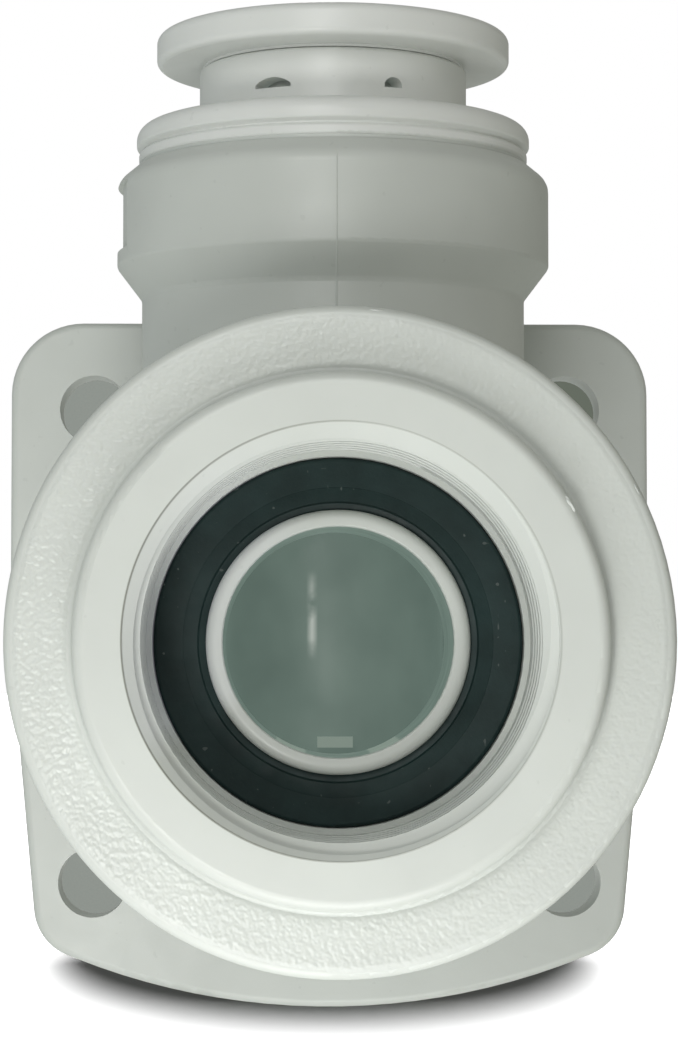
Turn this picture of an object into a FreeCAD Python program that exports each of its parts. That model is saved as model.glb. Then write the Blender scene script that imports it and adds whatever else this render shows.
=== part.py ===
"""Hand-operated plastic diaphragm valve with a threaded inlet socket and a square rear flange.

Millimetres. The origin is the centre of the rear face on the port axis. The inlet faces -Y,
the rear flange faces +Y and the turret with its knob stands up along +Z. The valve is closed.
"""

import FreeCAD, Part
import math
import os

from FreeCAD import Vector

# Port axis, front to back
BOSS_FACE_Y = -60.0
RIM_FACE_Y = -57.5
RIM_BACK_Y = -52.5
PLATE_FRONT_Y = -5.0
BOSS_R = 20.6
RIM_R = 25.97
FRONT_BARREL_R = 19.8

# One inch parallel pipe thread in the inlet socket, its crests truncated as a moulded thread's are
THREAD_PITCH = 25.4 / 11
THREAD_MINOR_R = 15.42
THREAD_MAJOR_R = 16.62
THREAD_ROOT = 0.34
THREAD_FLANK = math.radians(27.5)
THREAD_END_Y = -48.6
THREAD_WALL_END_Y = -47.2
MOUTH_R = 16.75

# Flat gasket and the nozzle that it sits round
GASKET_R = 14.9
GASKET_SEAT_R = 14.95
GASKET_BORE_R = 11.05
GASKET_THICK = 3.0
SOCKET_FLOOR_Y = -43.1
NOZZLE_FACE_Y = -47.1
NOZZLE_R = 10.52
NOZZLE_BORE_R = 9.3

# Turret: everything here turns about a vertical axis
TURRET_Y = -21.5
THROAT_R = 17.0
THROAT_TOP_Z = 30.5
BOWL_R = 19.2
BOWL_FOOT_Z = 33.4
BOWL_SHOULDER_Z = 40.8
BODY_TOP_R = 17.4
BODY_TOP_Z = 42.3
BODY_FLOOR_Z = -17.0
CHAMBER_R = 13.9
CHAMBER_FLOOR_Z = -14.0

# Outlet riser, from the rear port up to the seat
PORT_R = 7.5
RISER_R = 9.75
OUTLET_TUBE_R = 9.4
RISER_TOP_Z = 29.0
SEAT_Z = 30.98

# Rear plate
PLATE_HALF = 30.1
PLATE_TOP_Z = 30.5
PLATE_CORNER_R = 6.8
PLATE_LOW_HALF = 27.5
PLATE_LOW_Z = -27.9
PLATE_LOW_R = 5.0
PLATE_BOTTOM_Z = -33.9
PLATE_BOW_APEX_Z = -38.8
HOLE_PITCH = 44.5
HOLE_R = 3.25

# Diaphragm and its clamp
LEDGE_Z = 34.5
DIAPHRAGM_RIM = 2.0
DIAPHRAGM_R = 16.1
DIAPHRAGM_DISC_R = 10.4
DIAPHRAGM_DISC_Z = 31.0
DIAPHRAGM_DISC = 1.6
MEMBRANE = 1.0
CLAMP_RING = 0.8
BONNET_BORE_R = 14.2
BODY_BORE_R = 16.2

# Bonnet
CAP_R = 17.5
CAP_TOP_Z = 46.0
CAP_ROOF_Z = 44.0
NECK_R = 11.9
NECK_BORE_R = 10.0
NECK_TOP_Z = 51.1
WEB_TOP_Z = 46.4
WINDOW_FOOT_Z = 47.75
WINDOW_TOP_Z = 48.65

# Knob and spindle
KNOB_R = 15.72
KNOB_UNDER_Z = 51.4
KNOB_TOP_Z = 54.2
HUB_R = 9.7
HUB_BORE_R = 8.2
HUB_FOOT_Z = 46.8
KNOB_BOSS_R = 4.2
SPINDLE_R = 3.0
SPINDLE_LEAD = 3.0
SPINDLE_HEAD_R = 4.8
SPINDLE_HEAD_Z = 37.25
SPINDLE_THREAD_Z = 39.6
SPINDLE_SHOULDER_Z = 49.0
SPINDLE_TOP_Z = 51.3
NUT_R = 5.0
NUT_FOOT_Z = 43.2
NUT_TOP_Z = 48.3
RUNNING_GAP = 0.05

# Compressor, the disc that carries the centre of the diaphragm
COMPRESSOR_R = 9.8
COMPRESSOR_Z = DIAPHRAGM_DISC_Z + DIAPHRAGM_DISC + RUNNING_GAP
COMPRESSOR_FLOOR_Z = 34.0
COMPRESSOR_LEDGE_Z = 36.7
COMPRESSOR_TOP_Z = 39.1
CUP_R = 6.6
PIN_R = 1.0
PIN_CIRCLE_R = 8.0


def rounded_outline(corners):
    """Closed wire in the XY plane through corners (u, v, radius), each rounded by its radius."""
    starts, ends, arcs = [], [], []
    for index, (u, v, radius) in enumerate(corners):
        here = Vector(u, v, 0)
        before = Vector(*corners[index - 1][:2], 0) - here
        after = Vector(*corners[(index + 1) % len(corners)][:2], 0) - here
        half = before.getAngle(after) / 2
        before.normalize()
        after.normalize()
        if radius == 0:
            starts.append(here)
            ends.append(here)
            continue
        setback = radius / math.tan(half)
        middle = here + (before + after).normalize() * (radius / math.sin(half) - radius)
        starts.append(here + before * setback)
        ends.append(here + after * setback)
        arcs.append(Part.Arc(starts[-1], middle, ends[-1]).toShape())
    lines = []
    for index, end in enumerate(ends):
        start = starts[(index + 1) % len(starts)]
        if end.distanceToPoint(start) > 1e-6:
            lines.append(Part.makeLine(end, start))
    return Part.Wire(Part.__sortEdges__(lines + arcs))


def turned_on_port(corners):
    """Solid turned about the port axis from an outline of (radius, y, rounding)."""
    face = Part.Face(rounded_outline(corners))
    return face.revolve(Vector(0, 0, 0), Vector(0, 1, 0), 360)


def turned_on_turret(corners):
    """Solid turned about the turret axis from an outline of (radius, z, rounding)."""
    face = Part.Face(rounded_outline(corners))
    face.rotate(Vector(0, 0, 0), Vector(1, 0, 0), 90)
    solid = face.revolve(Vector(0, 0, 0), Vector(0, 0, 1), 360)
    solid.translate(Vector(0, TURRET_Y, 0))
    return solid


def upright(radius, foot, top, x=0.0, y=0.0):
    """Upright cylinder, placed from the turret axis."""
    return Part.makeCylinder(radius, top - foot, Vector(x, TURRET_Y + y, foot))


def along_port(radius, front, back, x=0.0, z=0.0):
    """Cylinder along Y, placed from the port axis."""
    return Part.makeCylinder(radius, back - front, Vector(x, front, z), Vector(0, 1, 0))


def ring_on_turret(radius, section_r, z):
    """O-ring round the turret axis."""
    ring = Part.makeTorus(radius, section_r)
    ring.translate(Vector(0, TURRET_Y, z))
    return ring


def prism(sides, across_flats, foot, top):
    """Regular upright prism on the turret axis."""
    reach = across_flats / 2 / math.cos(math.pi / sides)
    turn = math.pi / sides
    points = [
        Vector(reach * math.cos(turn * (2 * k + 1)), TURRET_Y + reach * math.sin(turn * (2 * k + 1)), foot)
        for k in range(sides)
    ]
    face = Part.Face(Part.makePolygon(points + points[:1]))
    return face.extrude(Vector(0, 0, top - foot))


def swept_groove(corners, pitch, radius, length):
    """Groove with the section (radius, height) swept up a right-hand helix about Z from z = 0."""
    helix = Part.makeHelix(pitch, length, radius)
    points = [Vector(r, 0, h) for r, h in corners]
    section = Part.makePolygon(points + points[:1])
    return Part.Wire(helix).makePipeShell([section], True, True)


def pipe_thread():
    """Cutter for the inlet thread, from ahead of the mouth to the end of the full thread."""
    overcut = 0.35
    root = THREAD_ROOT / 2
    wide = root + (THREAD_MAJOR_R - THREAD_MINOR_R + overcut) * math.tan(THREAD_FLANK)
    section = (
        (THREAD_MINOR_R - overcut, -wide),
        (THREAD_MAJOR_R, -root),
        (THREAD_MAJOR_R, root),
        (THREAD_MINOR_R - overcut, wide),
    )
    start = BOSS_FACE_Y - THREAD_PITCH / 2
    cutter = swept_groove(section, THREAD_PITCH, THREAD_MINOR_R, THREAD_END_Y - start)
    cutter.rotate(Vector(0, 0, 0), Vector(1, 0, 0), -90)
    cutter.rotate(Vector(0, 0, 0), Vector(0, 1, 0), 138)
    cutter.translate(Vector(0, start, 0))
    return cutter


def rear_plate():
    """Square plate with rounded corners, tapered lower sides and a bowed bottom edge."""
    right = (
        (PLATE_HALF, PLATE_TOP_Z, PLATE_CORNER_R),
        (PLATE_HALF, 0, 30.0),
        (PLATE_LOW_HALF, PLATE_LOW_Z, PLATE_LOW_R),
    )
    left = [(-x, z, radius) for x, z, radius in reversed(right)]
    sine = PLATE_LOW_HALF / math.hypot(PLATE_LOW_HALF, PLATE_LOW_Z - PLATE_BOW_APEX_Z)
    bow_r = (PLATE_BOTTOM_Z - PLATE_BOW_APEX_Z) / (1 / sine - 1)
    face = Part.Face(rounded_outline((*right, (0, PLATE_BOW_APEX_Z, bow_r), *left)))
    face.rotate(Vector(0, 0, 0), Vector(1, 0, 0), 90)
    plate = face.extrude(Vector(0, PLATE_FRONT_Y, 0))
    front_edges = [edge for edge in plate.Edges if abs(edge.CenterOfMass.y - PLATE_FRONT_Y) < 0.01]
    return plate.makeFillet(0.7, front_edges)


def body_shell():
    """Outside of the body: plate, turret, front barrel, rim flange and raised boss."""
    turret = turned_on_turret(
        (
            (0, BODY_FLOOR_Z, 0),
            (THROAT_R, BODY_FLOOR_Z, 4.0),
            (THROAT_R, THROAT_TOP_Z, 0.8),
            (BOWL_R, BOWL_FOOT_Z, 0.6),
            (BOWL_R, BOWL_SHOULDER_Z, 1.6),
            (BODY_TOP_R, BODY_TOP_Z, 0.25),
            (0, BODY_TOP_Z, 0),
        )
    )
    front = turned_on_port(
        (
            (0, BOSS_FACE_Y, 0),
            (BOSS_R, BOSS_FACE_Y, 0.9),
            (BOSS_R, RIM_FACE_Y, 0.5),
            (RIM_R, RIM_FACE_Y, 0.8),
            (RIM_R, RIM_BACK_Y, 0.5),
            (FRONT_BARREL_R, RIM_BACK_Y, 1.5),
            (FRONT_BARREL_R, -40.0, 3.0),
            (14.0, -34.0, 1.0),
            (14.0, TURRET_Y, 0),
            (0, TURRET_Y, 0),
        )
    )
    rear = along_port(15.0, TURRET_Y, -1.0)
    return turret.fuse([front, rear, rear_plate()])


def label_recess():
    """Shallow panel let into the left side of the bowl."""
    depth = 0.5
    half_angle = 20.0
    outer = Part.makeCylinder(BOWL_R + 2, 5.9, Vector(0, TURRET_Y, 34.6), Vector(0, 0, 1), 2 * half_angle)
    inner = Part.makeCylinder(BOWL_R - depth, 5.9, Vector(0, TURRET_Y, 34.6))
    outer.rotate(Vector(0, TURRET_Y, 0), Vector(0, 0, 1), 180 - half_angle)
    return outer.cut(inner)


def valve_body():
    """One moulding: socket, nozzle, chamber, riser with its elbow, turret and rear plate."""
    socket = turned_on_port(
        (
            (0, BOSS_FACE_Y - 1.0, 0),
            (MOUTH_R + 1.0, BOSS_FACE_Y - 1.0, 0),
            (MOUTH_R, BOSS_FACE_Y, 0),
            (THREAD_MINOR_R, BOSS_FACE_Y + MOUTH_R - THREAD_MINOR_R, 0),
            (THREAD_MINOR_R, THREAD_WALL_END_Y, 0),
            (GASKET_SEAT_R, THREAD_WALL_END_Y, 0),
            (GASKET_SEAT_R, SOCKET_FLOOR_Y, 0),
            (0, SOCKET_FLOOR_Y, 0),
        )
    )
    nozzle = turned_on_port(
        (
            (0, NOZZLE_FACE_Y, 0),
            (NOZZLE_R, NOZZLE_FACE_Y, 0.55),
            (NOZZLE_R, SOCKET_FLOOR_Y + 1.0, 0),
            (0, SOCKET_FLOOR_Y + 1.0, 0),
        )
    )
    chamber = turned_on_turret(
        (
            (0, CHAMBER_FLOOR_Z, 0),
            (CHAMBER_R, CHAMBER_FLOOR_Z, 3.0),
            (CHAMBER_R, LEDGE_Z, 0.3),
            (BODY_BORE_R, LEDGE_Z, 0),
            (BODY_BORE_R, BODY_TOP_Z + 1.0, 0),
            (0, BODY_TOP_Z + 1.0, 0),
        )
    )
    riser = upright(RISER_R, CHAMBER_FLOOR_Z - 1.0, RISER_TOP_Z)
    outlet_tube = along_port(OUTLET_TUBE_R, TURRET_Y, TURRET_Y + CHAMBER_R + 1.5)
    key = Part.makeBox(3.0, 2.0, 0.9, Vector(-1.5, TURRET_Y - RISER_R - 1.4, -8.85))
    inlet_bore = along_port(NOZZLE_BORE_R, NOZZLE_FACE_Y - 1.0, TURRET_Y)
    outlet_bore = along_port(PORT_R, TURRET_Y, 1.0)
    outlet_bend = Part.makeSphere(PORT_R, Vector(0, TURRET_Y, 0))
    outlet_riser = upright(PORT_R, 0, RISER_TOP_Z + 1.0)
    seat_pocket = upright(PORT_R + 0.8, 26.0, RISER_TOP_Z + 1.0)
    o_ring_groove = along_port(12.0, -1.8, 1.0).cut(along_port(9.8, -1.8, 1.0))

    bolt_holes = [
        along_port(HOLE_R, PLATE_FRONT_Y - 4.0, 1.0, side * HOLE_PITCH / 2, level * HOLE_PITCH / 2)
        for side in (-1, 1)
        for level in (-1, 1)
    ]

    body = body_shell().cut([socket, pipe_thread()])
    body = body.fuse(nozzle).cut(chamber).cut(inlet_bore)
    body = body.fuse(riser).fuse(outlet_tube).fuse(key)
    for cutter in (outlet_bore, outlet_riser, outlet_bend, seat_pocket, o_ring_groove, label_recess(), *bolt_holes):
        body = body.cut(cutter)
    return body


def inlet_gasket():
    """Flat rubber gasket with a shallow groove near its inner edge on the front face."""
    face_y = SOCKET_FLOOR_Y - GASKET_THICK
    groove_r = GASKET_BORE_R + 1.0
    return turned_on_port(
        (
            (GASKET_BORE_R, face_y, 0.3),
            (groove_r - 0.3, face_y, 0.1),
            (groove_r, face_y + 0.25, 0.05),
            (groove_r + 0.3, face_y, 0.1),
            (GASKET_R, face_y, 0.3),
            (GASKET_R, SOCKET_FLOOR_Y, 0.1),
            (GASKET_BORE_R, SOCKET_FLOOR_Y, 0.1),
        )
    )


def outlet_o_ring():
    """O-ring in the groove of the rear face, flush when the plate is bolted down."""
    return Part.makeTorus(10.9, 0.9, Vector(0, -0.9, 0), Vector(0, 1, 0))


def seat_ring():
    """Seat with a rounded lip and a spigot that presses into the riser."""
    spigot_foot = 26.0
    return turned_on_turret(
        (
            (PORT_R, spigot_foot, 0.1),
            (PORT_R + 0.8, spigot_foot, 0.1),
            (PORT_R + 0.8, RISER_TOP_Z, 0),
            (RISER_R, RISER_TOP_Z, 0.1),
            (RISER_R, SEAT_Z - 0.8, 0.4),
            (PORT_R + 1.4, SEAT_Z, 0.6),
            (PORT_R, SEAT_Z, 0.3),
        )
    )


def diaphragm():
    """Rubber diaphragm: thick rim, sloping membrane and a centre disc moulded over the stud's head."""
    rim_top = LEDGE_Z + DIAPHRAGM_RIM
    disc_top = DIAPHRAGM_DISC_Z + DIAPHRAGM_DISC
    disc_mid = DIAPHRAGM_DISC_Z + DIAPHRAGM_DISC / 2
    rim_mid = LEDGE_Z + DIAPHRAGM_RIM / 2
    sheet = turned_on_turret(
        (
            (0, DIAPHRAGM_DISC_Z, 0),
            (DIAPHRAGM_DISC_R, DIAPHRAGM_DISC_Z, 0.5),
            (CHAMBER_R - 0.3, rim_mid - MEMBRANE / 2, 0.3),
            (CHAMBER_R + 0.2, LEDGE_Z, 0.2),
            (DIAPHRAGM_R, LEDGE_Z, 0.3),
            (DIAPHRAGM_R, rim_top, 0.3),
            (BONNET_BORE_R + 0.1, rim_top, 0.2),
            (CHAMBER_R - 0.6, rim_mid + MEMBRANE / 2, 0.3),
            (DIAPHRAGM_DISC_R, disc_mid + DIAPHRAGM_DISC / 2, 0.5),
            (0, disc_top, 0),
        )
    )
    head = upright(5.0 + RUNNING_GAP, 31.5 - RUNNING_GAP, 32.1 + RUNNING_GAP)
    shank = upright(1.95 + RUNNING_GAP, 32.0, COMPRESSOR_FLOOR_Z)
    return sheet.cut([head, shank])


def diaphragm_clamp_ring():
    """Slip ring that lets the bonnet screw down on the rim without dragging it round."""
    foot = LEDGE_Z + DIAPHRAGM_RIM
    ring = upright(DIAPHRAGM_R, foot, foot + CLAMP_RING)
    return ring.cut(upright(BONNET_BORE_R, foot - 1, foot + CLAMP_RING + 1))


def vent_window(width, angle):
    """Arch-topped cutter for a low vent window in the neck, turned from the front."""
    half = width / 2
    foot = WINDOW_FOOT_Z
    spring = WINDOW_TOP_Z - 0.6
    edges = [
        Part.makeLine(Vector(half, 0, spring), Vector(half, 0, foot)),
        Part.makeLine(Vector(half, 0, foot), Vector(-half, 0, foot)),
        Part.makeLine(Vector(-half, 0, foot), Vector(-half, 0, spring)),
        Part.Arc(Vector(-half, 0, spring), Vector(0, 0, WINDOW_TOP_Z), Vector(half, 0, spring)).toShape(),
    ]
    cutter = Part.Face(Part.Wire(edges)).extrude(Vector(0, -NECK_R - 1.0, 0))
    cutter.rotate(Vector(0, 0, 0), Vector(0, 0, 1), angle)
    cutter.translate(Vector(0, TURRET_Y, 0))
    return cutter


def bonnet():
    """Cap that closes the body, with the guide holes, nut seat and vented neck."""
    skirt_foot = LEDGE_Z + DIAPHRAGM_RIM + CLAMP_RING
    bead_foot = BODY_TOP_Z + 0.3
    bead_r = CAP_R - 0.2
    groove_z = bead_foot + 1.1
    shell = turned_on_turret(
        (
            (BONNET_BORE_R, skirt_foot, 0.2),
            (DIAPHRAGM_R, skirt_foot, 0.4),
            (DIAPHRAGM_R, bead_foot, 0),
            (bead_r, bead_foot, 0.3),
            (bead_r, groove_z - 0.25, 0.3),
            (bead_r - 0.55, groove_z, 0.1),
            (CAP_R, groove_z + 0.35, 0.25),
            (CAP_R, CAP_TOP_Z, 1.3),
            (NECK_R, CAP_TOP_Z, 0.5),
            (NECK_R, NECK_TOP_Z, 0.3),
            (NECK_BORE_R, NECK_TOP_Z, 0.3),
            (NECK_BORE_R, WEB_TOP_Z, 0.4),
            (NUT_R + 1.5, WEB_TOP_Z, 0.3),
            (NUT_R + 1.5, NUT_TOP_Z - 0.3, 0.3),
            (NUT_R, NUT_TOP_Z - 0.3, 0),
            (NUT_R, CAP_ROOF_Z, 0),
            (BONNET_BORE_R, CAP_ROOF_Z, 0.6),
        )
    )
    cutters = []
    for side in (0, 180):
        cutters.append(vent_window(3.4, side - 27.0))
        cutters.append(vent_window(1.7, side + 25.0))
        turned = math.radians(side)
        cutters.append(
            upright(
                PIN_R + 0.08,
                CAP_ROOF_Z - 1.0,
                WEB_TOP_Z + 1.0,
                PIN_CIRCLE_R * math.cos(turned),
                PIN_CIRCLE_R * math.sin(turned),
            )
        )
    return shell.cut(cutters)


def spindle_nut():
    """Brass nut pressed into the bonnet from below, its flange taking the closing thrust."""
    nut = turned_on_turret(
        (
            (SPINDLE_R + RUNNING_GAP, NUT_FOOT_Z, 0.2),
            (NUT_R + 1.2, NUT_FOOT_Z, 0.2),
            (NUT_R + 1.2, CAP_ROOF_Z, 0),
            (NUT_R, CAP_ROOF_Z, 0),
            (NUT_R, NUT_TOP_Z, 0.3),
            (SPINDLE_R + RUNNING_GAP, NUT_TOP_Z, 0.3),
        )
    )
    return nut


def spindle():
    """Spindle with a retained head, a steep screw thread and a square end for the knob."""
    blank = turned_on_turret(
        (
            (0, SPINDLE_HEAD_Z, 0),
            (SPINDLE_HEAD_R, SPINDLE_HEAD_Z, 0.2),
            (SPINDLE_HEAD_R, SPINDLE_HEAD_Z + 1.0, 0.2),
            (2.4, SPINDLE_HEAD_Z + 1.0, 0.1),
            (2.4, SPINDLE_THREAD_Z - 0.4, 0),
            (SPINDLE_R, SPINDLE_THREAD_Z, 0),
            (SPINDLE_R, SPINDLE_SHOULDER_Z, 0.2),
            (0, SPINDLE_SHOULDER_Z, 0),
        )
    )
    groove = swept_groove(
        ((SPINDLE_R + 0.3, -0.85), (SPINDLE_R - 0.6, -0.45), (SPINDLE_R - 0.6, 0.45), (SPINDLE_R + 0.3, 0.85)),
        SPINDLE_LEAD,
        SPINDLE_R,
        7.6,
    )
    groove.translate(Vector(0, TURRET_Y, SPINDLE_THREAD_Z + 0.9))
    square = prism(4, 3.6, SPINDLE_SHOULDER_Z - 0.5, SPINDLE_TOP_Z)
    screw_hole = upright(1.45, 45.2, SPINDLE_TOP_Z + 1.0)
    return blank.cut(groove).fuse(square).cut(screw_hole)


def compressor():
    """Ribbed disc with a cup that holds the stud's nut below and the spindle's head above."""
    body = turned_on_turret(
        (
            (0, COMPRESSOR_Z, 0),
            (COMPRESSOR_R, COMPRESSOR_Z, 0.5),
            (COMPRESSOR_R, COMPRESSOR_Z + 1.6, 0.4),
            (CUP_R, COMPRESSOR_Z + 1.6, 0.4),
            (CUP_R, COMPRESSOR_TOP_Z, 0.3),
            (SPINDLE_HEAD_R + 0.5, COMPRESSOR_TOP_Z, 0),
            (SPINDLE_HEAD_R + 0.5, COMPRESSOR_LEDGE_Z, 0),
            (4.1, COMPRESSOR_LEDGE_Z, 0),
            (4.1, COMPRESSOR_FLOOR_Z, 0),
            (0, COMPRESSOR_FLOOR_Z, 0),
        )
    )
    ribs = []
    for index in range(6):
        rib = Part.makeBox(3.0, 0.9, 2.4, Vector(CUP_R - 0.3, TURRET_Y - 0.45, COMPRESSOR_Z + 1.4))
        rib.rotate(Vector(0, TURRET_Y, 0), Vector(0, 0, 1), 30 + 60 * index)
        ribs.append(rib)
    stud_hole = upright(2.0, COMPRESSOR_Z - 1, COMPRESSOR_FLOOR_Z + 1)
    clip_groove = upright(SPINDLE_HEAD_R + 0.9, 38.3, 38.95)
    pin_holes = [
        upright(PIN_R, COMPRESSOR_Z + 0.35, COMPRESSOR_Z + 3.0, side * PIN_CIRCLE_R) for side in (-1, 1)
    ]
    return body.fuse(ribs).cut([stud_hole, clip_groove, *pin_holes])


def guide_pins():
    """Two pins in the compressor that slide in the bonnet's web and stop it turning."""
    foot = COMPRESSOR_Z + 0.35
    return Part.makeCompound([upright(PIN_R, foot, 45.5, side * PIN_CIRCLE_R) for side in (-1, 1)])


def diaphragm_stud():
    """Stud whose flat head is moulded into the centre of the diaphragm."""
    head = upright(5.0, 31.5, 32.1)
    return head.fuse(upright(1.95, 32.0, 36.4))


def diaphragm_washer():
    """Plain washer under the stud's nut."""
    washer = upright(3.95, COMPRESSOR_FLOOR_Z, COMPRESSOR_FLOOR_Z + 0.5)
    return washer.cut(upright(2.0, COMPRESSOR_FLOOR_Z - 1, COMPRESSOR_FLOOR_Z + 1))


def diaphragm_nut():
    """Hexagon nut that draws the diaphragm up against the compressor."""
    foot = COMPRESSOR_FLOOR_Z + 0.5
    return prism(6, 6.9, foot, foot + 1.7).cut(upright(1.95, foot - 1, foot + 3))


def thrust_washer():
    """Bronze washer between the spindle's head and the compressor's ledge."""
    washer = upright(SPINDLE_HEAD_R + 0.4, COMPRESSOR_LEDGE_Z, SPINDLE_HEAD_Z - RUNNING_GAP)
    return washer.cut(upright(1.8, COMPRESSOR_LEDGE_Z - 1, SPINDLE_HEAD_Z + 1))


def spindle_clip():
    """Internal ring clip with two eyes, keeping the spindle's head in the cup."""
    foot = 38.35
    top = 38.9
    ring = upright(SPINDLE_HEAD_R + 0.85, foot, top).cut(upright(4.1, foot - 1, top + 1))
    eyes = [upright(0.95, foot, top, -3.95, side * 1.75) for side in (-1, 1)]
    gap = Part.makeBox(4.0, 1.6, 2.0, Vector(-7.0, TURRET_Y - 0.8, foot - 0.5))
    holes = [upright(0.4, foot - 1, top + 1, -3.95, side * 1.75) for side in (-1, 1)]
    return ring.fuse(eyes).cut([gap, *holes])


def knob():
    """Mushroom knob: flat disc with a rounded rim, guide sleeve and a square-socketed boss."""
    body = turned_on_turret(
        (
            (0, SPINDLE_SHOULDER_Z, 0),
            (KNOB_BOSS_R, SPINDLE_SHOULDER_Z, 0.3),
            (KNOB_BOSS_R, KNOB_UNDER_Z - 0.3, 0.5),
            (HUB_BORE_R, KNOB_UNDER_Z - 0.3, 0.5),
            (HUB_BORE_R, HUB_FOOT_Z, 0.2),
            (HUB_R, HUB_FOOT_Z, 0.2),
            (HUB_R, KNOB_UNDER_Z, 0.2),
            (KNOB_R, KNOB_UNDER_Z, 0.6),
            (KNOB_R, KNOB_TOP_Z, 0.8),
            (6.2, KNOB_TOP_Z, 0.2),
            (6.2, 53.1, 0),
            (4.0, 53.1, 0.1),
            (4.0, 51.9, 0),
            (0, 51.9, 0),
        )
    )
    o_ring_seat = ring_on_turret(HUB_R - 0.25, 0.5, 47.7)
    return body.cut([prism(4, 3.6, SPINDLE_SHOULDER_Z - 1, SPINDLE_TOP_Z), upright(1.6, 51.0, 53.0), o_ring_seat])


def knob_o_ring():
    """O-ring round the knob's sleeve that keeps dirt out of the neck."""
    return ring_on_turret(HUB_R - 0.25, 0.5, 47.7)


def knob_washer():
    """Plain washer under the knob's screw."""
    return upright(3.2, 51.9, 52.2).cut(upright(1.6, 51.0, 53.0))


def knob_screw():
    """Pan head screw with a cross recess that holds the knob on the spindle."""
    head = turned_on_turret(
        (
            (0, 52.2, 0),
            (2.7, 52.2, 0.1),
            (2.7, 53.0, 0.4),
            (0, 53.0, 0),
        )
    )
    shank = upright(1.45, 45.7, 52.3)
    slots = [
        Part.makeBox(2.6, 0.5, 0.5, Vector(-1.3, TURRET_Y - 0.25, 52.6)),
        Part.makeBox(0.5, 2.6, 0.5, Vector(-0.25, TURRET_Y - 1.3, 52.6)),
    ]
    return head.fuse(shank).cut(slots)


def knob_cap():
    """Blank disc that snaps over the screw in the top of the knob."""
    return turned_on_turret(
        (
            (0, 53.1, 0),
            (6.15, 53.1, 0.1),
            (6.15, KNOB_TOP_Z, 0.25),
            (0, KNOB_TOP_Z, 0),
        )
    )


PARTS = (
    valve_body,
    inlet_gasket,
    outlet_o_ring,
    seat_ring,
    diaphragm,
    diaphragm_clamp_ring,
    bonnet,
    spindle_nut,
    compressor,
    guide_pins,
    diaphragm_stud,
    diaphragm_washer,
    diaphragm_nut,
    thrust_washer,
    spindle_clip,
    spindle,
    knob,
    knob_o_ring,
    knob_washer,
    knob_screw,
    knob_cap,
)

os.makedirs("parts", exist_ok=True)
for make_part in PARTS:
    shape = make_part()
    shape.exportStep(f"parts/{make_part.__name__}.step")
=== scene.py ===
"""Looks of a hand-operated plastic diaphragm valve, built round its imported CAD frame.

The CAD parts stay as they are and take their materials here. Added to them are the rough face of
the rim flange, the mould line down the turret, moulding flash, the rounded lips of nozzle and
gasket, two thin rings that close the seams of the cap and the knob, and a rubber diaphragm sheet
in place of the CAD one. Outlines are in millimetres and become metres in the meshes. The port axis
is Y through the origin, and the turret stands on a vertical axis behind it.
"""

import math
import random

import bmesh
import bpy
from mathutils import Matrix, Vector, noise

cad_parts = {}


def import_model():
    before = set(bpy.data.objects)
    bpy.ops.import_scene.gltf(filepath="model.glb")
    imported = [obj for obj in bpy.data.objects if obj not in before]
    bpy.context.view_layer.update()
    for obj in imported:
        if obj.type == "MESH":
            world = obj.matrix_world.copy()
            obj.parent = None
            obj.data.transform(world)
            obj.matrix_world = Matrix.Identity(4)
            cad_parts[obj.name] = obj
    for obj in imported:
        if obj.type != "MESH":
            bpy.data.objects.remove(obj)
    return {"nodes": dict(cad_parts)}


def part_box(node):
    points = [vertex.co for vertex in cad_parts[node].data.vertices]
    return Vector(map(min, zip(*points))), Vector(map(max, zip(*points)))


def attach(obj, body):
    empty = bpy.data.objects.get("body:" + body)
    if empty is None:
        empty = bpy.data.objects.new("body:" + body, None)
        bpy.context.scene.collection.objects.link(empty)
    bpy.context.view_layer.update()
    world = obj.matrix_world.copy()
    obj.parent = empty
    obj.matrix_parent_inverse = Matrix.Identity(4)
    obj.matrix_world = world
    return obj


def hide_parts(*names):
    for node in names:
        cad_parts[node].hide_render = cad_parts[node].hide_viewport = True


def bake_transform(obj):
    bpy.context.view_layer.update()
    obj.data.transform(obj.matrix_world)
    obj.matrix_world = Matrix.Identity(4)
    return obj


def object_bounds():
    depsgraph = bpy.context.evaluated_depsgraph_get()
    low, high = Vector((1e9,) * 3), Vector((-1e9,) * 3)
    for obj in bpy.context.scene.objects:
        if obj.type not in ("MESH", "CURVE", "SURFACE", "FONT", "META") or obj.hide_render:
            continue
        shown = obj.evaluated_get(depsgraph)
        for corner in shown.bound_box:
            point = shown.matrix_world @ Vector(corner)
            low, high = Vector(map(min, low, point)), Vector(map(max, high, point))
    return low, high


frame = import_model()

CAD_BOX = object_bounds()
NODES = frame["nodes"]
MM = 0.001
SEGMENTS = 192


def box_mm(node):
    """Lowest and highest corner of a CAD node in millimetres."""
    low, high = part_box(node)
    return low / MM, high / MM


BODY_LOW, BODY_HIGH = box_mm("valve_body")
GASKET_FACE_Y = box_mm("inlet_gasket")[0].y
BONNET_LOW, BONNET_HIGH = box_mm("bonnet")
DIAPHRAGM_LOW, DIAPHRAGM_HIGH = box_mm("diaphragm")
FLOOR_Z = CAD_BOX[0].z / MM

# Port axis
BOSS_Y = BODY_LOW.y
RIM_Y = BOSS_Y + 2.5
BOSS_R = 20.6
RIM_R = 25.97
MOUTH_R = 16.75
NOZZLE_Y = -47.1
BORE_R = 9.3

# Turret axis
TURRET_Y = (BONNET_LOW.y + BONNET_HIGH.y) / 2
THROAT_R = 17.0
BOWL_R = 19.2
CHAMBER_R = 13.9
LEDGE_Z = DIAPHRAGM_LOW.z + 3.5

# Key block on the riser, seen through the nozzle: where its front is, and its foot and top
KEY_BLOCK_Y = -31.4
KEY_BLOCK_Z = (-8.9, -7.9)

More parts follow.
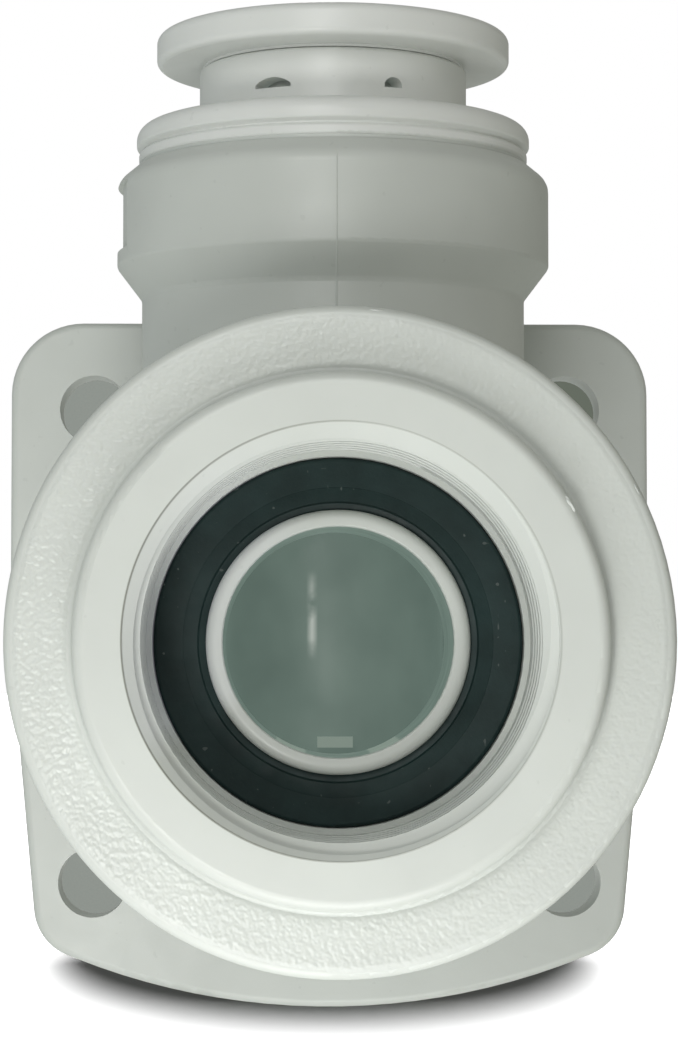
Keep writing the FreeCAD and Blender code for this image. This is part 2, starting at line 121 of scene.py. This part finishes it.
# Grain of the rim flange: millimetres, and the angle at which it is weakest
GRAIN_DEPTH = 0.11
COARSE_GRAIN, COARSE_HEIGHT = 0.40, 0.038
FINE_GRAIN, FINE_HEIGHT = 0.20, 0.032
SMOOTH_SIDE = math.radians(20)

# Water way and socket: painted shade in the darker tones, painted light in the glows, the mouth's
# darker edge
WATER_WAY_PAINTED_SHADE = (0.07, 0.09, 0.08), (0.09, 0.11, 0.095)
WATER_WAY_PAINTED_GLOWS = (0.085, 0.118, 0.102), (0.100, 0.138, 0.120)
# Painted light on the socket's left wall
WALL_PAINTED_LIGHT = (0.05, 0.05, 0.06)
# Painted highlight down the riser
PAINTED_HIGHLIGHT_GLOW = (0.34, 0.37, 0.34)
# Painted light on the key block's front
KEY_BLOCK_PAINTED_LIGHT = (0.17, 0.21, 0.18)
# Darker line along the mouth's edge, darkest on the left
MOUTH_EDGE_DARK_TONE = (0.13, 0.135, 0.10)

# Painted highlight down the riser: its place across, and where it fades in and out
PAINTED_HIGHLIGHT_X = -1.95
PAINTED_HIGHLIGHT_FOOT = (-1.5, 0.5)
PAINTED_HIGHLIGHT_HEAD = (4.0, 6.3)

# Camera
LENS, SENSOR = 102.76, 36.0
CAMERA_PLACE = (-4.61, BOSS_Y - 228.0, -1.84)
CAMERA_TURN = (math.radians(90 + 2.662), 0, math.radians(-1.107))

# Lights: name, place and size in millimetres, power in watts, colour, what they point at
LIGHTS = (
    ("key", (-50, -245, -70), 60, 0.12, (1.0, 0.995, 0.97), (0, BOSS_Y, 0)),
    ("bounce", (-5, -120, -100), 90, 0.085, (1.0, 1.0, 1.0), (0, BOSS_Y, -15)),
    ("fill", (-32, -250, 110), 120, 0.15, (1.0, 1.0, 0.99), (0, BOSS_Y, 20)),
)
WORLD_LEFT = (0.41, 0.435, 0.43)
WORLD_RIGHT = (0.245, 0.243, 0.21)
FRONT_DIM = 0.35
TABLE_BOUNCE = (0.20, 0.21, 0.20)

# Floor shadow: a low sun, and the card that shapes its shadow
SUN_POWER, SUN_ANGLE, SUN_RISE = 168.0, math.radians(1.25), math.radians(10)
CARD_LIFT = 52.0
SHADOW_Y = 50
SHADOW_HALF = (30, 73)
SHADOW_BACK = 0.12

# Card behind the bolt holes: its tones, and the darker one for its upper right corner, painted
# shade
HOLE_CARD_SIDE = 54
HOLE_CARD_PLACE = (0, 0.5, 1)
HOLE_CARD_TONES = (0.25, 0.275, 0.255), (0.29, 0.31, 0.28)
HOLE_CARD_PAINTED_SHADE = (0.13, 0.148, 0.12)


# ---------------------------------------------------------------- mesh tools


def rounded(corners, step=math.radians(11)):
    """Points of the closed outline through corners (u, v, radius), each corner rounded."""
    points = []
    for index, (u, v, radius) in enumerate(corners):
        here = Vector((u, v))
        back = (Vector(corners[index - 1][:2]) - here).normalized()
        ahead = (Vector(corners[(index + 1) % len(corners)][:2]) - here).normalized()
        if radius == 0:
            points.append(here)
            continue
        half = back.angle(ahead) / 2
        centre = here + (back + ahead).normalized() * (radius / math.sin(half))
        spoke = here + back * (radius / math.tan(half)) - centre
        sweep = math.copysign(math.pi - 2 * half, ahead.cross(back))
        steps = max(2, math.ceil(abs(sweep) / step))
        for k in range(steps + 1):
            points.append(centre + Matrix.Rotation(sweep * k / steps, 2) @ spoke)
    return points


def new_object(name, vertices, faces, materials):
    """Closed mesh object with outward normals, smooth except at its sharp corners."""
    mesh = bpy.data.meshes.new(name)
    mesh.from_pydata(vertices, [], faces)
    work = bmesh.new()
    work.from_mesh(mesh)
    bmesh.ops.remove_doubles(work, verts=work.verts, dist=1e-7)
    bmesh.ops.recalc_face_normals(work, faces=work.faces)
    work.to_mesh(mesh)
    work.free()
    mesh.shade_smooth()
    mesh.set_sharp_from_angle(angle=math.radians(30))
    piece = bpy.data.objects.new(name, mesh)
    bpy.context.scene.collection.objects.link(piece)
    for material in materials:
        mesh.materials.append(material)
    return piece


def turned(name, points, material, axis="Z", segments=SEGMENTS, shape=None):
    """Closed outline of (radius, place) turned about the port axis (Y) or the turret axis (Z).

    shape(radius, place, angle) may return another (radius, place) for each point.
    """
    vertices = []
    for k in range(segments):
        angle = 2 * math.pi * k / segments
        cosine, sine = math.cos(angle) * MM, math.sin(angle) * MM
        for radius, place in points:
            if shape:
                radius, place = shape(radius, place, angle)
            if axis == "Y":
                vertices.append((radius * cosine, place * MM, radius * sine))
            else:
                vertices.append((radius * cosine, TURRET_Y * MM + radius * sine, place * MM))
    count = len(points)
    faces = []
    for k in range(segments):
        here, there = k * count, (k + 1) % segments * count
        for i in range(count):
            j = (i + 1) % count
            flat = points[i][0] < 1e-9, points[j][0] < 1e-9
            if all(flat):
                continue
            if flat[0]:
                faces.append((here + i, here + j, there + j))
            elif flat[1]:
                faces.append((here + i, here + j, there + i))
            else:
                faces.append((here + i, here + j, there + j, there + i))
    return new_object(name, vertices, faces, [material])


def joined(name, parts):
    """One object from several, keeping their materials."""
    bpy.ops.object.select_all(action="DESELECT")
    for part in parts:
        part.select_set(True)
    bpy.context.view_layer.objects.active = parts[0]
    bpy.ops.object.join()
    parts[0].name = name
    parts[0].data.name = name
    return parts[0]


# ---------------------------------------------------------------- materials


class Shader:
    """A material's node tree, with short calls for the nodes that these materials share."""

    def __init__(self, name, roughness, **sockets):
        self.material = bpy.data.materials.new(name)
        self.material.use_nodes = True
        self.tree = self.material.node_tree
        self.surface = self.tree.nodes["Principled BSDF"]
        self.surface.inputs["Roughness"].default_value = roughness
        for socket, value in sockets.items():
            self.surface.inputs[socket.replace("_", " ")].default_value = value
        self.place = self.tree.nodes.new("ShaderNodeTexCoord").outputs["Object"]

    def node(self, kind, **inputs):
        made = self.tree.nodes.new(kind)
        for name, value in inputs.items():
            self.feed(made.inputs[name.replace("_", " ")], value)
        return made

    def feed(self, socket, value):
        if isinstance(value, bpy.types.NodeSocket):
            self.tree.links.new(value, socket)
        else:
            socket.default_value = value

    def noise(self, size_mm, detail=3.0, roughness=0.5, distortion=0.0):
        """Grey noise whose grains are about size_mm across."""
        made = self.node(
            "ShaderNodeTexNoise",
            Vector=self.place,
            Scale=1 / (size_mm * MM),
            Detail=detail,
            Roughness=roughness,
            Distortion=distortion,
        )
        return made.outputs["Fac"]

    def math(self, operation, first, second=0.0, third=0.0, clamp=False):
        made = self.tree.nodes.new("ShaderNodeMath")
        made.operation = operation
        made.use_clamp = clamp
        for socket, value in zip(made.inputs, (first, second, third)):
            self.feed(socket, value)
        return made.outputs[0]

    def product(self, first, *others):
        """Masks multiplied together."""
        for other in others:
            first = self.math("MULTIPLY", first, other)
        return first

    def distance(self, first, second):
        """Length of the two lengths at right angles."""
        squares = [self.math("MULTIPLY", value, value) for value in (first, second)]
        return self.math("SQRT", self.math("ADD", *squares))

    def spread(self, value, low, high, to_low=0.0, to_high=1.0):
        """Value mapped from low..high to to_low..to_high, and held there."""
        made = self.node("ShaderNodeMapRange", Value=value)
        for socket, number in zip(made.inputs[1:5], (low, high, to_low, to_high)):
            self.feed(socket, number)
        return made.outputs["Result"]

    def above(self, value, low, high):
        """Mask that rises from 0 to 1 between two places in millimetres."""
        return self.spread(value, low * MM, high * MM)

    def below(self, value, low, high):
        """Mask that falls from 1 to 0 between two places in millimetres."""
        return self.spread(value, low * MM, high * MM, 1.0, 0.0)

    def mix(self, share, first, second):
        """Colour between first and second."""
        made = self.tree.nodes.new("ShaderNodeMix")
        made.data_type = "RGBA"
        self.feed(made.inputs["Factor"], share)
        for socket, colour in zip((made.inputs["A"], made.inputs["B"]), (first, second)):
            linked = isinstance(colour, bpy.types.NodeSocket)
            self.feed(socket, colour if linked else (*colour, 1.0))
        return made.outputs["Result"]

    def colour(self, value):
        self.feed(self.surface.inputs["Base Color"], value)

    def bump(self, height, depth_mm, strength=1.0):
        """Adds a relief of depth_mm over the height's 0..1 to what is there already."""
        made = self.node("ShaderNodeBump", Height=height, Distance=depth_mm * MM, Strength=strength)
        linked = self.surface.inputs["Normal"].links
        if linked:
            self.tree.links.new(linked[0].from_socket, made.inputs["Normal"])
        self.tree.links.new(made.outputs["Normal"], self.surface.inputs["Normal"])

    def roughness(self, value):
        self.feed(self.surface.inputs["Roughness"], value)

    def glow(self, value):
        self.feed(self.surface.inputs["Emission Color"], value)
        self.surface.inputs["Emission Strength"].default_value = 1.0

    def axes(self):
        """Object coordinates X, Y and Z."""
        split = self.node("ShaderNodeSeparateXYZ", Vector=self.place)
        return [split.outputs[axis] for axis in "XYZ"]


def white_plastic(name, roughness, tone=(0.615, 0.64, 0.605)):
    """Shader of moulded white plastic: faint flow clouding, a few dark specks and fine grain."""
    shader = Shader(name, roughness, IOR=1.49, Subsurface_Weight=0.10, Subsurface_Scale=0.001)
    shader.surface.inputs["Subsurface Radius"].default_value = (1.0, 0.95, 0.8)
    clouds = shader.spread(shader.noise(9.0, detail=2.0), 0.35, 0.65)
    specks = shader.spread(shader.noise(0.8, detail=1.0), 0.74, 0.78)
    warm = [channel * 0.96 for channel in tone]
    grime = [channel * 0.7 for channel in tone]
    base = shader.mix(clouds, tone, warm)
    shader.base = shader.mix(shader.math("MULTIPLY", specks, 0.2), base, grime)
    shader.colour(shader.base)
    shader.roughness(shader.spread(shader.noise(2.5), 0.3, 0.7, roughness - 0.05, roughness + 0.07))
    shader.bump(shader.noise(0.45), 0.006)
    return shader


def body_plastic():
    """White plastic with painted shade and painted light inside the water way: a darker grey-green
    tone under a grey-green painted glow.

    The socket's left wall has a faint painted light, the mouth's edge a darker line, the riser a
    painted highlight and the key block on it a painted light.
    """
    shader = white_plastic("white_plastic_body", 0.36)
    x, y, z = shader.axes()
    off_port = shader.distance(x, z)
    off_turret = shader.distance(x, shader.math("SUBTRACT", y, TURRET_Y * MM))
    across = shader.math("DIVIDE", x, off_port)
    upward = shader.math("DIVIDE", z, off_port)

    in_bore = shader.product(
        shader.below(off_port, BORE_R + 0.05, BORE_R + 0.25),
        shader.above(y, NOZZLE_Y + 0.2, NOZZLE_Y + 1.2),
    )
    in_chamber = shader.product(
        shader.below(off_turret, CHAMBER_R + 0.1, CHAMBER_R + 0.4),
        shader.below(z, LEDGE_Z - 0.3, LEDGE_Z),
    )
    inside = shader.math("MAXIMUM", in_bore, in_chamber)
    # Painted highlight: a pale streak down the riser
    painted_highlight = shader.product(
        shader.below(shader.math("ABSOLUTE", shader.math("SUBTRACT", x, PAINTED_HIGHLIGHT_X * MM)), 0.05, 0.5),
        shader.above(z, *PAINTED_HIGHLIGHT_FOOT),
        shader.below(z, *PAINTED_HIGHLIGHT_HEAD),
        shader.spread(shader.noise(2.2), 0.3, 0.6),
    )
    # Painted light on the key block's front
    foot, top = KEY_BLOCK_Z
    on_key_block = shader.product(
        shader.below(y, KEY_BLOCK_Y - 0.1, KEY_BLOCK_Y + 0.1),
        shader.above(z, foot - 0.05, foot),
        shader.below(z, top, top + 0.1),
    )
    # Painted light on the socket's left wall
    painted_lit_wall = shader.product(
        shader.below(off_port, MOUTH_R + 0.01, MOUTH_R + 0.05),
        shader.spread(upward, -0.56, -0.42),
        shader.spread(across, -0.2, -0.6),
    )
    # A darker line along the mouth's edge, darkest on the left
    off_mouth = shader.math("ABSOLUTE", shader.math("SUBTRACT", off_port, MOUTH_R * MM))
    mouth_edge = shader.product(
        shader.below(off_mouth, 0.03, 0.11),
        shader.below(y, BOSS_Y + 0.2, BOSS_Y + 0.3),
        shader.spread(across, -0.9, 0.2, 0.85, 0.3),
    )

    # Inside the water way the darker tone is painted shade and the glow over it is painted light
    clouds = shader.spread(shader.noise(6.0, detail=2.0), 0.3, 0.7)
    outer_tone = shader.mix(mouth_edge, shader.base, MOUTH_EDGE_DARK_TONE)
    shader.colour(shader.mix(inside, outer_tone, shader.mix(clouds, *WATER_WAY_PAINTED_SHADE)))
    painted_inner_light = shader.mix(painted_highlight, shader.mix(clouds, *WATER_WAY_PAINTED_GLOWS), PAINTED_HIGHLIGHT_GLOW)
    painted_inner_light = shader.mix(on_key_block, painted_inner_light, KEY_BLOCK_PAINTED_LIGHT)
    shader.glow(shader.mix(inside, shader.mix(painted_lit_wall, (0, 0, 0), WALL_PAINTED_LIGHT), painted_inner_light))
    return shader.material


def black_rubber():
    """Dark rubber with a faint bloom, moulded grain and pale dust specks."""
    shader = Shader("black_rubber", 0.5, IOR=1.5, Specular_IOR_Level=0.35)
    bloom = shader.spread(shader.noise(3.5, detail=4.0), 0.35, 0.7)
    dust = shader.spread(shader.noise(0.55, detail=0.0), 0.80, 0.84)
    base = shader.mix(bloom, (0.006, 0.020, 0.019), (0.012, 0.032, 0.031))
    shader.colour(shader.mix(shader.math("MULTIPLY", dust, 0.5), base, (0.14, 0.16, 0.15)))
    shader.roughness(shader.spread(shader.noise(1.2), 0.3, 0.7, 0.42, 0.58))
    shader.bump(shader.noise(0.22, detail=3.0), 0.012)
    return shader.material


def metal(name, colour, roughness, ring_mm=0.12):
    """Turned metal: fine rings round the turret axis and a little tarnish."""
    shader = Shader(name, roughness, Metallic=1.0)
    x, y, z = shader.axes()
    radius = shader.distance(x, shader.math("SUBTRACT", y, TURRET_Y * MM))
    travel = shader.math("ADD", radius, z)
    rings = shader.math("SINE", shader.math("MULTIPLY", travel, 2 * math.pi / (ring_mm * MM)))
    dull = [channel * 0.7 for channel in colour]
    shader.colour(shader.mix(shader.spread(shader.noise(1.4), 0.35, 0.7), colour, dull))
    shader.roughness(shader.spread(shader.noise(0.8), 0.3, 0.7, roughness - 0.06, roughness + 0.1))
    shader.bump(shader.spread(rings, -1.0, 1.0), 0.002)
    return shader.material


def dull_plastic(name, light, dark, roughness, glow=(0, 0, 0)):
    """Matt inner plastic with a fibrous fine grain; a glow, if given, is painted light."""
    shader = Shader(name, roughness, IOR=1.5)
    shader.colour(shader.mix(shader.spread(shader.noise(0.8, detail=4.0), 0.35, 0.65), light, dark))
    shader.roughness(shader.spread(shader.noise(0.5), 0.3, 0.7, roughness - 0.06, roughness + 0.08))
    shader.bump(shader.noise(0.2), 0.006)
    if any(glow):
        shader.glow((*glow, 1.0))
    return shader.material


WHITE = white_plastic("white_plastic", 0.34, (0.80, 0.815, 0.79)).material
WHITE_BODY = body_plastic()
WHITE_ROUGH = white_plastic("white_plastic_rough", 0.32).material
RUBBER = black_rubber()
BRASS = metal("brass", (0.72, 0.50, 0.22), 0.26)
STEEL = metal("steel", (0.58, 0.58, 0.57), 0.28)
ACETAL = dull_plastic("acetal", (0.66, 0.67, 0.63), (0.60, 0.61, 0.57), 0.45)
# The knob's o-ring glows a little: painted light in the neck's windows
SILICONE_PAINTED_GLOW = dull_plastic(
    "grey_silicone", (0.34, 0.38, 0.35), (0.29, 0.33, 0.30), 0.5, glow=(0.14, 0.17, 0.155)
)
GREY = dull_plastic("glass_filled_plastic", (0.16, 0.17, 0.17), (0.11, 0.12, 0.12), 0.5)


# ---------------------------------------------------------------- added pieces


def add_to_body(piece):
    """Makes the piece part of the housing."""
    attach(piece, "housing")


def rim_grain():
    """Orange-peel skin on the rim flange's front face, sunk into the flange at its edges."""
    inner_r, outer_r = BOSS_R + 0.25, RIM_R - 0.55
    rows = 52
    front = [(inner_r + (outer_r - inner_r) * k / rows, RIM_Y) for k in range(rows + 1)]
    back = [(outer_r, RIM_Y + 0.3), (inner_r, RIM_Y + 0.3)]

    def grain(radius, y, angle):
        if y > RIM_Y:
            return radius, y
        fade = min(1.0, (outer_r - radius) / 0.5, (radius - inner_r) / 0.5)
        worn = 0.4 + 0.3 * (1 - math.cos(angle - SMOOTH_SIDE))
        spot = Vector((radius * math.cos(angle), radius * math.sin(angle), 0))
        coarse = noise.noise(spot / COARSE_GRAIN)
        fine = noise.noise(spot / FINE_GRAIN + Vector((7, 3, 0)))
        relief = GRAIN_DEPTH + worn * (COARSE_HEIGHT * coarse + FINE_HEIGHT * fine)
        return radius, y + 0.05 - fade * relief

    add_to_body(turned("rim_grain", front + back, WHITE_ROUGH, "Y", segments=1600, shape=grain))


def mould_line():
    """Low ridge where the mould halves met, down the front of the turret."""
    profile = rounded(
        (
            (THROAT_R, 24.5, 0),
            (THROAT_R, 30.5, 0.8),
            (BOWL_R, 33.4, 0.6),
            (BOWL_R, 40.8, 1.6),
            (BOWL_R - 1.7, 42.1, 0),
            (BOWL_R - 3.0, 41.0, 0),
            (THROAT_R - 1.0, 30.0, 0),
            (THROAT_R - 1.0, 24.5, 0),
        )
    )
    count = len(profile)
    vertices = []
    for x, lift in ((-0.11, -0.02), (0.0, 0.045), (0.11, -0.02)):
        vertices += [(x * MM, (TURRET_Y - r - lift) * MM, z * MM) for r, z in profile]
    faces = [tuple(range(count)), tuple(range(2 * count, 3 * count))]
    for row in (0, count):
        for k in range(count):
            j = (k + 1) % count
            faces.append((row + k, row + j, row + count + j, row + count + k))
    add_to_body(new_object("mould_line", vertices, faces, [WHITE_BODY]))


def moulding_flash():
    """Small ragged nibs of flash left on the edges of the rim, the boss and the mouth."""
    edges = (
        (RIM_R - 0.35, RIM_Y + 0.25, (27, 84)),
        (BOSS_R - 0.25, BOSS_Y + 0.25, (31,)),
        (MOUTH_R + 0.05, BOSS_Y + 0.135, (181, 196)),
    )
    draw = random.Random(5)
    nibs = []
    for radius, y, angles in edges:
        for degrees in angles:
            angle = math.radians(degrees)
            bpy.ops.mesh.primitive_ico_sphere_add(subdivisions=3, radius=1)
            nib = bpy.context.object
            for vertex in nib.data.vertices:
                vertex.co *= 1 + 0.5 * noise.noise(vertex.co * 1.7 + Vector((degrees, 0, 0)))
            size = Matrix.Diagonal((0.16, 0.12, draw.uniform(0.4, 0.7), 1)) * MM
            turn = Matrix.Rotation(-angle, 4, "Y")
            place = Vector((radius * math.cos(angle), y, radius * math.sin(angle))) * MM
            size[3][3] = 1
            nib.data.transform(Matrix.Translation(place) @ turn @ size)
            nib.data.materials.append(WHITE_BODY)
            nib.data.shade_smooth()
            nibs.append(nib)
    add_to_body(joined("moulding_flash", nibs))


def lip_rings():
    """Rounded lip of the nozzle, and the gasket's inner bead round it."""
    lip_y = NOZZLE_Y - 0.22
    nozzle = (
        (BORE_R + 0.03, NOZZLE_Y + 0.5, 0),
        (BORE_R + 0.03, lip_y, 0.12),
        (10.66, lip_y, 0.85),
        (10.66, NOZZLE_Y + 0.8, 0),
    )
    add_to_body(turned("nozzle_lip", rounded(nozzle), WHITE_BODY, "Y"))
    bead = (
        (10.45, GASKET_FACE_Y + 0.4, 0),
        (10.45, GASKET_FACE_Y - 0.1, 0.05),
        (11.2, GASKET_FACE_Y - 0.26, 0.06),
        (11.35, GASKET_FACE_Y - 0.1, 0.05),
        (12.5, GASKET_FACE_Y - 0.02, 0.05),
        (12.6, GASKET_FACE_Y + 0.15, 0),
    )
    piece = turned("gasket_bead", rounded(bead), RUBBER, "Y")
    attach(piece, "housing")


def closing_rings():
    """Rings that close the seams between body and bonnet and between neck and knob."""
    low, high = BODY_HIGH.z - 0.05, BODY_HIGH.z + 0.35
    seam = ((16.4, low, 0), (17.2, low, 0.05), (17.2, high, 0.05), (16.4, high, 0))
    add_to_body(turned("cap_seam", rounded(seam), WHITE_BODY))
    low, high = BONNET_HIGH.z + 0.07, BONNET_HIGH.z + 0.37
    skirt = ((10.2, low, 0), (11.65, low, 0.1), (11.65, high, 0), (10.2, high, 0))
    ring = turned("knob_underside_ring", rounded(skirt), WHITE)
    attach(ring, "handle")


def diaphragm():
    """Rubber diaphragm sheet, turned in one piece, that takes the place of the hidden CAD
    diaphragm.
    """
    low, high = DIAPHRAGM_LOW.z, DIAPHRAGM_HIGH.z
    disc_top, disc_r, rim_r = low + 1.6, 10.4, DIAPHRAGM_HIGH.x
    outline = rounded(
        (
            (2.0, low + 1.15, 0),
            (5.05, low + 1.15, 0),
            (5.05, low + 0.45, 0),
            (0, low + 0.45, 0),
            (0, low, 0),
            (disc_r, low, 0.5),
            (CHAMBER_R - 0.3, LEDGE_Z + 0.5, 0.3),
            (CHAMBER_R + 0.2, LEDGE_Z, 0.2),
            (rim_r, LEDGE_Z, 0.3),
            (rim_r, high, 0.3),
            (14.3, high, 0.2),
            (CHAMBER_R - 0.6, high - 0.5, 0.3),
            (disc_r, disc_top, 0.5),
            (2.0, disc_top, 0),
        )
    )
    piece = turned("diaphragm_sheet", [tuple(p) for p in outline], RUBBER)
    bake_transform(piece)
    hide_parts("diaphragm")


# ---------------------------------------------------------------- CAD parts


def dress_cad_parts():
    """Materials for the CAD parts."""
    finishes = {
        "valve_body": WHITE_BODY,
        "bonnet": WHITE,
        "knob": WHITE,
        "knob_cap": WHITE,
        "inlet_gasket": RUBBER,
        "outlet_o_ring": RUBBER,
        "seat_ring": ACETAL,
        "diaphragm_clamp_ring": ACETAL,
        "spindle_nut": BRASS,
        "compressor": GREY,
        "guide_pins": STEEL,
        "diaphragm_stud": BRASS,
        "diaphragm_washer": STEEL,
        "diaphragm_nut": STEEL,
        "thrust_washer": BRASS,
        "spindle_clip": STEEL,
        "spindle": STEEL,
        "knob_o_ring": SILICONE_PAINTED_GLOW,
        "knob_washer": STEEL,
        "knob_screw": STEEL,
    }
    for node, material in finishes.items():
        slots = NODES[node].data.materials
        slots.clear()
        slots.append(material)


# ---------------------------------------------------------------- studio


def area_light(name, place_mm, size_mm, power, colour, target_mm):
    """Round light that points at its target."""
    light = bpy.data.lights.new(name, "AREA")
    light.shape = "DISK"
    light.size = size_mm * MM
    light.energy = power
    light.color = colour
    lamp = bpy.data.objects.new(name, light)
    lamp.location = Vector(place_mm) * MM
    ahead = Vector(target_mm) * MM - lamp.location
    lamp.rotation_euler = ahead.to_track_quat("-Z", "Y").to_euler()
    bpy.context.scene.collection.objects.link(lamp)


def camera():
    """Camera close in front of the socket, a little to its left and below the port axis."""
    data = bpy.data.cameras.new("camera")
    data.sensor_width = SENSOR
    data.lens = LENS
    data.clip_start = 0.01
    data.clip_end = 20.0
    eye = bpy.data.objects.new("camera", data)
    eye.location = Vector(CAMERA_PLACE) * MM
    eye.rotation_euler = CAMERA_TURN
    bpy.context.scene.collection.objects.link(eye)
    bpy.context.scene.camera = eye


def world():
    """Soft studio light: cool from the left, warm and dim from the right, dimmer straight ahead
    where the camera stands, with a lift from the table below. The camera sees plain white.
    """
    made = bpy.data.worlds.new("studio")
    made.use_nodes = True
    bpy.context.scene.world = made
    tree = made.node_tree
    split = tree.nodes.new("ShaderNodeSeparateXYZ")
    place = tree.nodes.new("ShaderNodeTexCoord").outputs["Generated"]
    tree.links.new(place, split.inputs["Vector"])

    def share(axis, start, end):
        ramp = tree.nodes.new("ShaderNodeMapRange")
        ramp.inputs["From Min"].default_value = start
        ramp.inputs["From Max"].default_value = end
        tree.links.new(split.outputs[axis], ramp.inputs["Value"])
        return ramp.outputs["Result"]

    def mix(kind, factor, first, second):
        made_mix = tree.nodes.new("ShaderNodeMix")
        made_mix.data_type = "RGBA"
        made_mix.blend_type = kind
        tree.links.new(factor, made_mix.inputs["Factor"])
        if isinstance(first, tuple):
            made_mix.inputs["A"].default_value = (*first, 1)
        else:
            tree.links.new(first, made_mix.inputs["A"])
        made_mix.inputs["B"].default_value = (*second, 1)
        return made_mix.outputs["Result"]

    sides = mix("MIX", share("X", -1.0, 1.0), WORLD_LEFT, WORLD_RIGHT)
    ahead = mix("MULTIPLY", share("Y", -0.5, -0.9), sides, (FRONT_DIM,) * 3)
    light = mix("ADD", share("Z", 0.1, -0.5), ahead, TABLE_BOUNCE)
    studio = tree.nodes["Background"]
    tree.links.new(light, studio.inputs["Color"])
    surround = tree.nodes.new("ShaderNodeBackground")
    surround.inputs["Color"].default_value = (1, 1, 1, 1)
    path = tree.nodes.new("ShaderNodeLightPath")
    either = tree.nodes.new("ShaderNodeMixShader")
    tree.links.new(path.outputs["Is Camera Ray"], either.inputs["Fac"])
    tree.links.new(studio.outputs["Background"], either.inputs[1])
    tree.links.new(surround.outputs["Background"], either.inputs[2])
    tree.links.new(either.outputs["Shader"], tree.nodes["World Output"].inputs["Surface"])


def floor():
    """Pale floor under the plate's lowest point, lit by a low sun of its own from the front.

    A card that only this sun sees stands in for the valve. It hangs high in front of the valve, and
    its soft shadow falls under the plate.
    """
    paper = Shader("floor_paper", 0.9)
    paper.colour(paper.mix(paper.noise(3.0), (0.125, 0.125, 0.125), (0.135, 0.135, 0.135)))
    bpy.ops.mesh.primitive_plane_add(size=6.0, location=(0, 0, FLOOR_Z * MM))
    ground = bpy.context.object
    ground.name = "floor"
    ground.data.materials.append(paper.material)
    ground.visible_shadow = False

    place = Vector((0, SHADOW_Y - CARD_LIFT / math.tan(SUN_RISE), FLOOR_Z + CARD_LIFT)) * MM
    bpy.ops.mesh.primitive_circle_add(vertices=96, radius=1, fill_type="NGON", location=place)
    card = bpy.context.object
    card.name = "shadow_card"
    card.scale = (SHADOW_HALF[0] * MM, SHADOW_HALF[1] * MM, 1)
    for vertex in card.data.vertices:
        if vertex.co.y > 0:
            vertex.co.y *= SHADOW_BACK
    card.data.materials.append(paper.material)
    card.visible_camera = False
    for thing in (ground, card):
        thing.visible_diffuse = False
        thing.visible_glossy = False
        thing.visible_transmission = False

    sun = bpy.data.lights.new("floor_sun", "SUN")
    sun.energy = SUN_POWER
    sun.angle = SUN_ANGLE
    lamp = bpy.data.objects.new("floor_sun", sun)
    lamp.rotation_euler = (math.pi / 2 - SUN_RISE, 0, 0)
    bpy.context.scene.collection.objects.link(lamp)
    for purpose, thing in (("receiver_collection", ground), ("blocker_collection", card)):
        chosen = bpy.data.collections.new("floor_sun_" + purpose)
        chosen.objects.link(thing)
        setattr(lamp.light_linking, purpose, chosen)


def bolt_hole_card():
    """Grey card behind the flange that shows through its bolt holes, seen from the front only."""
    card_paper = Shader("card_paper", 1.0)
    card_paper.colour((0, 0, 0, 1))
    x, y, _ = card_paper.axes()
    # Painted shade: the card darkens towards its upper right corner
    painted_shade_to_corner = card_paper.spread(card_paper.math("ADD", x, y), 0.2, 0.75)
    tone = card_paper.mix(card_paper.noise(4.0), *HOLE_CARD_TONES)
    tone = card_paper.mix(painted_shade_to_corner, tone, HOLE_CARD_PAINTED_SHADE)
    card_paper.glow(tone)
    back = card_paper.node("ShaderNodeNewGeometry").outputs["Backfacing"]
    card_paper.feed(card_paper.surface.inputs["Alpha"], card_paper.math("SUBTRACT", 1.0, back))
    place = Vector(HOLE_CARD_PLACE) * MM
    bpy.ops.mesh.primitive_plane_add(size=1, location=place, rotation=(math.pi / 2, 0, 0))
    card = bpy.context.object
    card.name = "bolt_hole_card"
    card.scale = (HOLE_CARD_SIDE * MM, HOLE_CARD_SIDE * MM, 1)
    card.data.materials.append(card_paper.material)
    card.visible_diffuse = False
    card.visible_glossy = False
    card.visible_shadow = False


rim_grain()
mould_line()
moulding_flash()
lip_rings()
closing_rings()
diaphragm()
dress_cad_parts()
camera()
world()
floor()
bolt_hole_card()
for light in LIGHTS:
    area_light(*light)
bpy.context.scene.view_settings.view_transform = "Standard"
bpy.context.scene.view_settings.look = "None"
